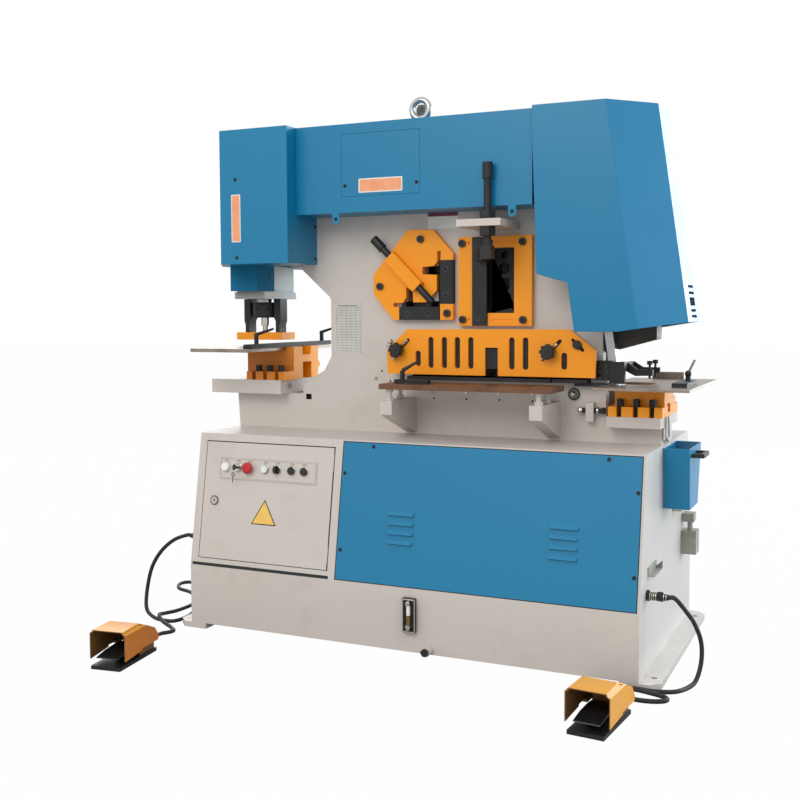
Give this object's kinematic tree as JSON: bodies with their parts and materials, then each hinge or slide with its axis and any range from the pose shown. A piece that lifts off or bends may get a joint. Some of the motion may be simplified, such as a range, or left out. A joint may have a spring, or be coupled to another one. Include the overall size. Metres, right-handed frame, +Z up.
{
  "type": "hydraulic ironworker",
  "caption": "Hydraulic ironworker with punching, angle, bar and plate shearing and notching stations on a twin-plate frame over a sheet-steel cabinet, with foot pedals on cords.",
  "frame": {"origin": "centre of the four anchor holes, on the floor", "axes": "+X along the machine towards the notching end, +Y away from the operator, +Z up"},
  "size_m": [2.1648, 1.3648, 1.886],
  "materials": {
    "body_paint": "satin cream-grey enamel",
    "cover_blue": "satin blue enamel",
    "tool_orange": "satin orange-yellow enamel",
    "blackened_steel": "black oxide",
    "bright_steel": "ground",
    "plain_steel": "as rolled, oiled",
    "black_plastic": "moulded",
    "red_plastic": "moulded",
    "white_plastic": "moulded",
    "black_rubber": "sheathed",
    "machinery_grey": "satin grey enamel"
  },
  "bodies": {
    "machine": {"base_cabinet": "body_paint", "front_panel": "cover_blue", "fasteners": "blackened_steel", "tank_fittings": "bright_steel", "frame_front": "body_paint", "frame_rear": "body_paint", "punch_bed": "body_paint", "die_block": "tool_orange", "punch_guide": "plain_steel", "hydraulic_cylinders": "machinery_grey", "stripper_bracket": "blackened_steel", "stripper_plate": "tool_orange", "ram_cover": "cover_blue", "punch_hood": "cover_blue", "beam_cover": "cover_blue", "notch_hood": "cover_blue", "eye_bolt": "machinery_grey", "pivot_shaft": "bright_steel", "angle_plate": "tool_orange", "fixed_blades": "blackened_steel", "bar_frame": "tool_orange", "shear_table": "plain_steel", "table_brackets": "body_paint", "notch_bed": "body_paint", "notch_die": "tool_orange", "notch_stripper": "blackened_steel", "notch_table": "plain_steel", "punch_table": "plain_steel", "scrap_bin": "cover_blue", "electrical_fittings": "machinery_grey", "pedal_housings": "tool_orange", "power_pack": "machinery_grey", "cord_left": "black_rubber", "cord_right": "black_rubber"},
    "door": {"control_door": "body_paint", "button_plate": "body_paint", "signal_lamp": "white_plastic"},
    "door_lock": {"door_lock": "black_plastic"},
    "key_switch": {"key_switch": "bright_steel"},
    "mushroom_button": {"mushroom_button": "red_plastic"},
    "start_button": {"start_button": "white_plastic"},
    "selector_knob": {"selector_knob": "black_plastic"},
    "jog_left": {"jog_button_left": "black_plastic"},
    "jog_right": {"jog_button_right": "black_plastic"},
    "punch": {"punch_ram": "bright_steel", "coupling_nut": "blackened_steel", "punch_tool": "blackened_steel"},
    "beam": {"shear_beam": "plain_steel", "moving_blades": "blackened_steel", "notch_ram": "blackened_steel"},
    "rod": {"shear_rod": "bright_steel"},
    "angle_clamp": {"angle_clamp": "blackened_steel"},
    "bar_clamp": {"bar_clamp": "blackened_steel"},
    "guard": {"guard_plate": "tool_orange"},
    "guard_knob_left": {"guard_knob_left": "black_plastic"},
    "guard_knob_right": {"guard_knob_right": "black_plastic"},
    "notch_stop": {"notch_stop": "blackened_steel"},
    "punch_fence": {"punch_fence": "blackened_steel"},
    "treadle_left": {"treadle_left": "black_plastic"},
    "treadle_right": {"treadle_right": "black_plastic"}
  },
  "joints": [
    {"name": "door_swing", "type": "hinge", "parent": "machine", "child": "door", "pos_m": [-0.25275, -0.39055, 0.46067], "axis": [0, 0.1658, 0.9862], "range_deg": [0, 110]},
    {"name": "lock_turn", "type": "hinge", "parent": "door", "child": "door_lock", "pos_m": [-0.72, -0.39151, 0.45799], "axis": [0, -0.9862, 0.1658], "range_deg": [0, 90]},
    {"name": "key_turn", "type": "hinge", "parent": "door", "child": "key_switch", "pos_m": [-0.63, -0.3715, 0.57699], "axis": [0, -0.9862, 0.1658], "range_deg": [0, 60]},
    {"name": "mushroom_press", "type": "slide", "parent": "door", "child": "mushroom_button", "axis": [0, 0.9862, -0.1658], "range_m": [0, 0.005], "stiffness_N_per_m": 600},
    {"name": "start_press", "type": "slide", "parent": "door", "child": "start_button", "axis": [0, 0.9862, -0.1658], "range_m": [0, 0.004], "stiffness_N_per_m": 400},
    {"name": "selector_turn", "type": "hinge", "parent": "door", "child": "selector_knob", "pos_m": [-0.471, -0.3715, 0.57699], "axis": [0, -0.9862, 0.1658], "range_deg": [-45, 45]},
    {"name": "jog_left_press", "type": "slide", "parent": "door", "child": "jog_left", "axis": [0, 0.9862, -0.1658], "range_m": [0, 0.004], "stiffness_N_per_m": 400},
    {"name": "jog_right_press", "type": "slide", "parent": "door", "child": "jog_right", "axis": [0, 0.9862, -0.1658], "range_m": [0, 0.004], "stiffness_N_per_m": 400},
    {"name": "punch_stroke", "type": "slide", "parent": "machine", "child": "punch", "axis": [0, 0, -1], "range_m": [0, 0.055]},
    {"name": "beam_rock", "type": "hinge", "parent": "machine", "child": "beam", "pos_m": [-0.33, 0, 0.785], "axis": [0, 1, 0], "range_deg": [0, 2.5]},
    {"name": "rod_stroke", "type": "slide", "parent": "machine", "child": "rod", "axis": [0, 0, -1], "range_m": [0, 0.03]},
    {"name": "angle_clamp_feed", "type": "slide", "parent": "machine", "child": "angle_clamp", "axis": [0.7071, 0, -0.7071], "range_m": [-0.07, 0.02]},
    {"name": "bar_clamp_feed", "type": "slide", "parent": "machine", "child": "bar_clamp", "axis": [0, 0, -1], "range_m": [0, 0.1]},
    {"name": "guard_shift", "type": "slide", "parent": "machine", "child": "guard", "axis": [0.7071, 0, 0.7071], "range_m": [0, 0.018]},
    {"name": "guard_knob_left_turn", "type": "hinge", "parent": "machine", "child": "guard_knob_left", "pos_m": [-0.107, 0, 0.991], "axis": [0, -1, 0], "continuous": true},
    {"name": "guard_knob_right_turn", "type": "hinge", "parent": "machine", "child": "guard_knob_right", "pos_m": [0.438, 0, 0.991], "axis": [0, -1, 0], "continuous": true},
    {"name": "notch_stop_slide", "type": "slide", "parent": "machine", "child": "notch_stop", "axis": [1, 0, 0], "range_m": [-0.07, 0]},
    {"name": "punch_fence_slide", "type": "slide", "parent": "machine", "child": "punch_fence", "axis": [1, 0, 0], "range_m": [-0.18, 0]},
    {"name": "treadle_left_press", "type": "hinge", "parent": "machine", "child": "treadle_left", "pos_m": [-0.79051, -0.77925, 0.04], "axis": [0.9914, 0.1305, 0], "range_deg": [0, 6], "stiffness_Nm_per_rad": 6, "springref_deg": -17.19},
    {"name": "treadle_right_press", "type": "hinge", "parent": "machine", "child": "treadle_right", "pos_m": [0.76157, -0.68959, 0.04], "axis": [0.9954, -0.0958, 0], "range_deg": [0, 6], "stiffness_Nm_per_rad": 6, "springref_deg": -17.19}
  ],
  "couplings": [
    {"joint": "rod_stroke", "follows": "beam_rock", "m_per_rad": 0.62}
  ]
}
